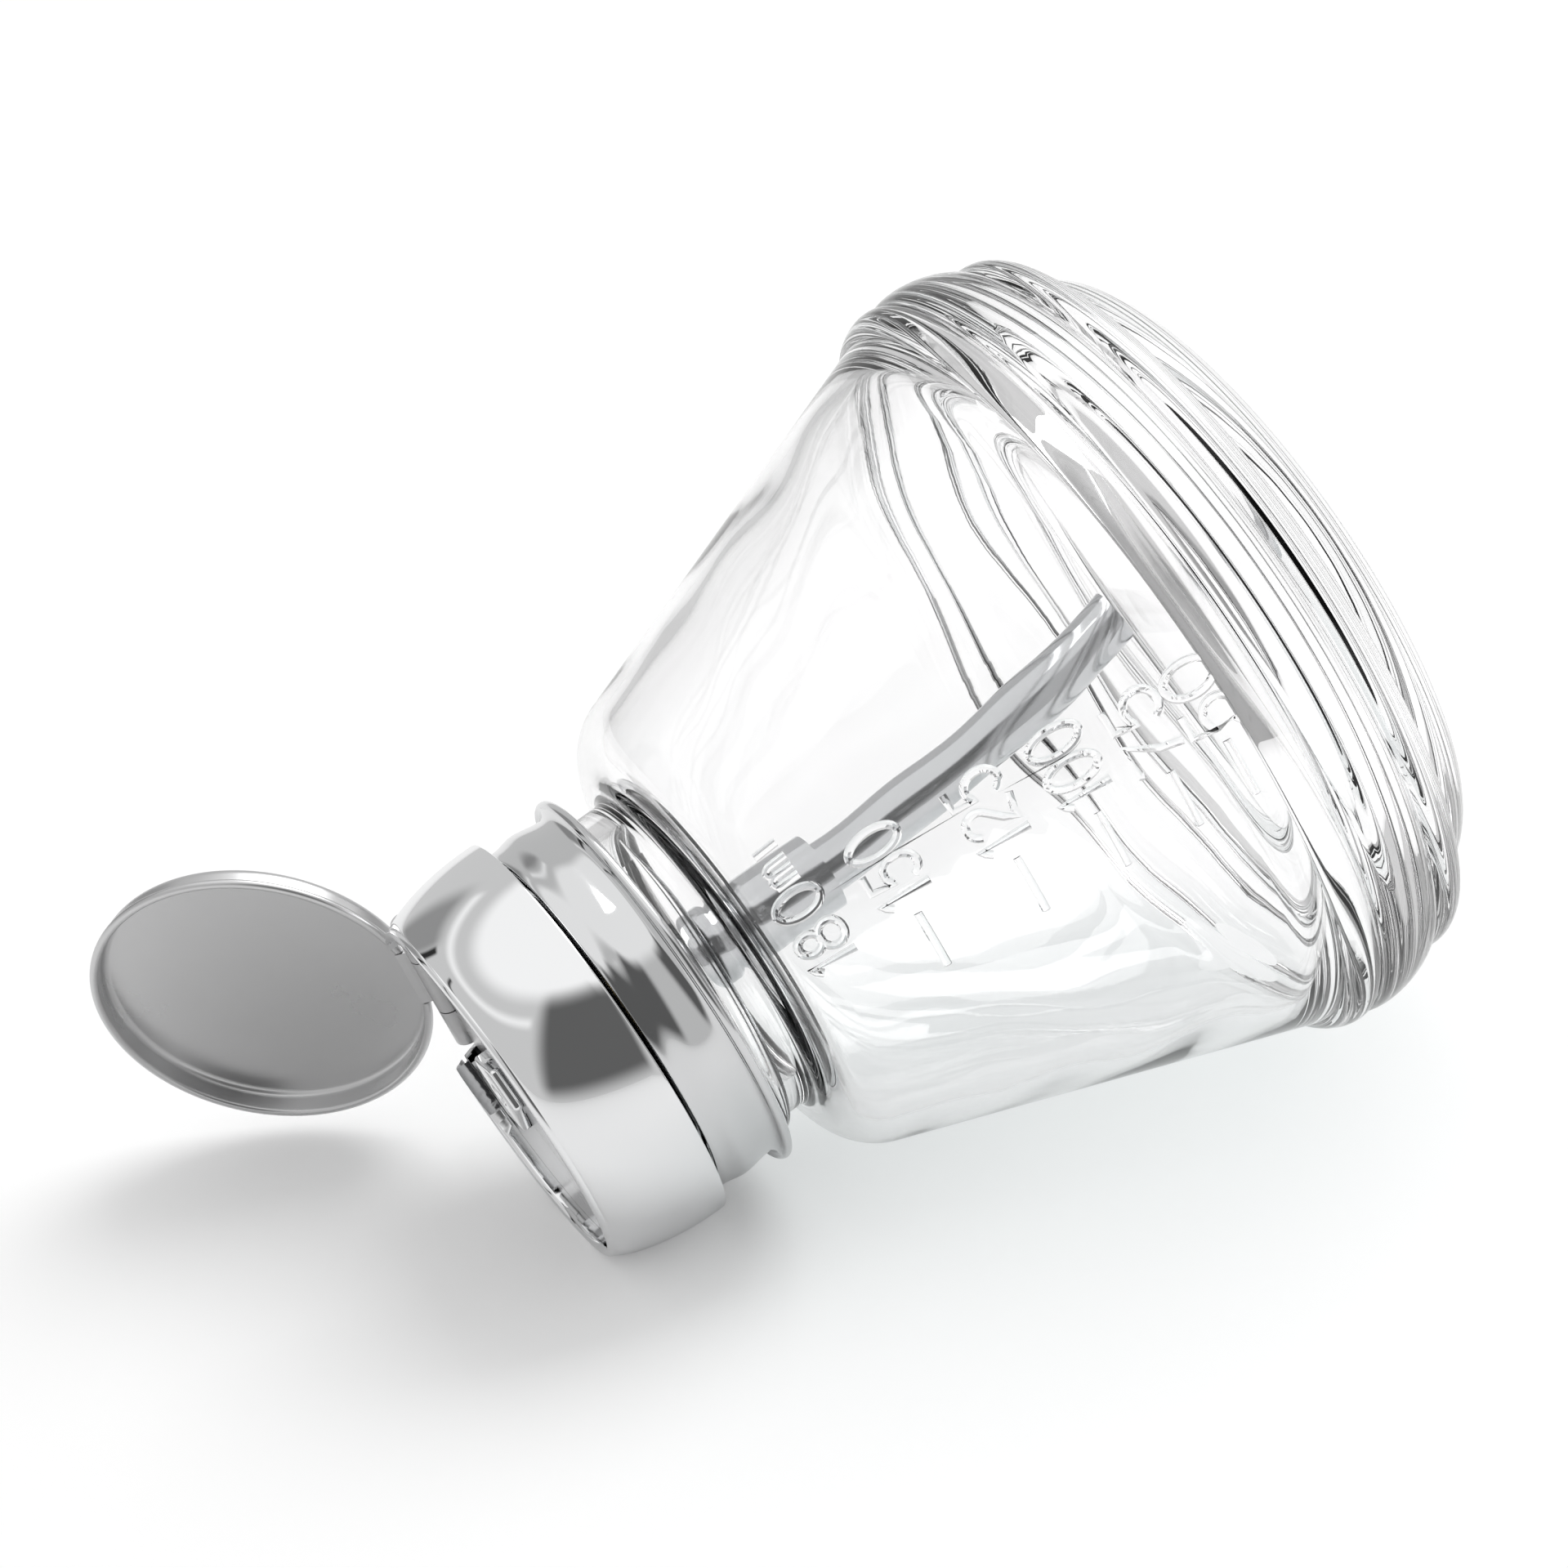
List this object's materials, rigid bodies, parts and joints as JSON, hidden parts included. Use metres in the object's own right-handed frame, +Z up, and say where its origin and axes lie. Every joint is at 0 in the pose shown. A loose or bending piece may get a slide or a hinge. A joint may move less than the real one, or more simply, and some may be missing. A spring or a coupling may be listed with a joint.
{
  "type": "press-down pump dispenser bottle",
  "caption": "Clear conical glass bottle with measuring marks, a chrome press-down pump head with a shallow dish, and a flip-up hinged lid.",
  "frame": {"origin": "Centre of the ring on the underside of the base, on the axis of the bottle", "axes": "+Z up the bottle to the pump head, +Y towards the lid hinge, X along the hinge pin"},
  "size_m": [0.0848, 0.0859, 0.1171],
  "materials": {
    "clear_glass": "clear pressed glass, polished",
    "polished_chrome": "bright chrome plating on pressed sheet",
    "satin_steel": "satin stainless steel sheet",
    "pump_steel": "drawn stainless steel",
    "pump_brass": "turned brass",
    "seal_rubber": "black rubber, matt"
  },
  "bodies": {
    "bottle": {"glass_bottle": "clear_glass"},
    "pump": {"neck_gasket": "seal_rubber", "pump_barrel": "pump_steel", "guide_bush": "pump_brass", "stem_seal": "seal_rubber", "dip_tube": "pump_steel", "inlet_seat": "pump_brass", "ball_cage": "pump_brass", "return_spring": "pump_steel"},
    "collar": {"collar": "polished_chrome"},
    "plunger": {"piston": "pump_brass", "piston_ring": "seal_rubber", "plunger_stem": "pump_steel"},
    "head": {"head_shell": "polished_chrome", "dish_ring": "polished_chrome", "dish_plate": "satin_steel", "head_hub": "pump_brass", "outlet_washer": "seal_rubber", "outlet_fitting": "polished_chrome", "hinge_pin": "pump_steel"},
    "lid": {"lid": "satin_steel"},
    "inlet_ball": {"inlet_ball": "pump_steel"},
    "outlet_ball": {"outlet_ball": "pump_steel"}
  },
  "joints": [
    {"name": "pump_lift", "type": "slide", "parent": "bottle", "child": "pump", "axis": [0, 0, 1], "range_m": [0, 0.00423]},
    {"name": "collar_turn", "type": "hinge", "parent": "pump", "child": "collar", "pos_m": [0, 0, 0], "axis": [0, 0, 1], "range_deg": [0, 360]},
    {"name": "plunger_press", "type": "slide", "parent": "pump", "child": "plunger", "axis": [0, 0, -1], "range_m": [0, 0.0055], "stiffness_N_per_m": 600, "springref_m": -0.004, "deforming": ["return_spring"]},
    {"name": "head_spin", "type": "hinge", "parent": "plunger", "child": "head", "pos_m": [0, 0, 0], "axis": [0, 0, 1], "continuous": true},
    {"name": "lid_hinge", "type": "hinge", "parent": "head", "child": "lid", "pos_m": [0, 0.0192, 0.0886], "axis": [1, 0, 0], "range_deg": [0, 127.6]},
    {"name": "inlet_ball_lift", "type": "slide", "parent": "pump", "child": "inlet_ball", "axis": [0, 0, 1], "range_m": [0, 0.001]},
    {"name": "outlet_ball_lift", "type": "slide", "parent": "plunger", "child": "outlet_ball", "axis": [0, 0, 1], "range_m": [0, 0.0006]}
  ],
  "couplings": [
    {"joint": "collar_turn", "follows": "pump_lift", "rad_per_m": 1485.4}
  ]
}
